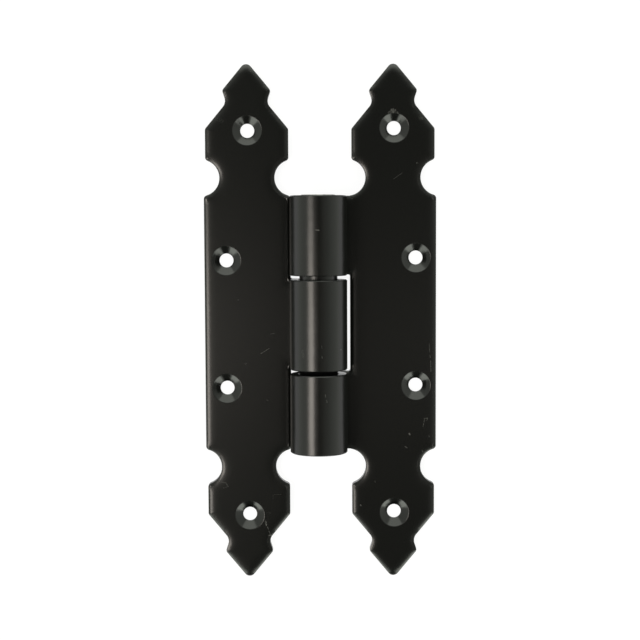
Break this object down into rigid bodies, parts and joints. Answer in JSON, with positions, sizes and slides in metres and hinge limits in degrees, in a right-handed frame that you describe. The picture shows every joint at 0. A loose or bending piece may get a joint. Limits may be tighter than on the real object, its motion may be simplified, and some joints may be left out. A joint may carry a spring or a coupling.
{
  "type": "decorative hinge",
  "caption": "Flat ornamental H hinge in black painted steel: spear-tipped leaves with countersunk screw holes, joined by rolled knuckles on a round pin.",
  "frame": {"origin": "on the plane of the back faces, under the middle of the hinge's outline as it lies open", "axes": "+X from the left leaf to the right leaf, +Y along the pin, +Z out of the front"},
  "size_m": [0.0742, 0.165, 0.0182],
  "materials": {
    "leaf_paint": "satin black paint on steel sheet, front edges bevelled by stamping, a few fine scratches",
    "pin_steel": "satin black paint, thin and rubbed on the end chamfers"
  },
  "bodies": {
    "right_side": {"right_leaf": "leaf_paint", "hinge_pin": "pin_steel"},
    "left_side": {"left_leaf": "leaf_paint"}
  },
  "joints": [
    {"name": "leaf_swing", "type": "hinge", "parent": "right_side", "child": "left_side", "pos_m": [-0.00065, 0, 0.0091], "axis": [0, 1, 0], "range_deg": [0, 198]}
  ]
}
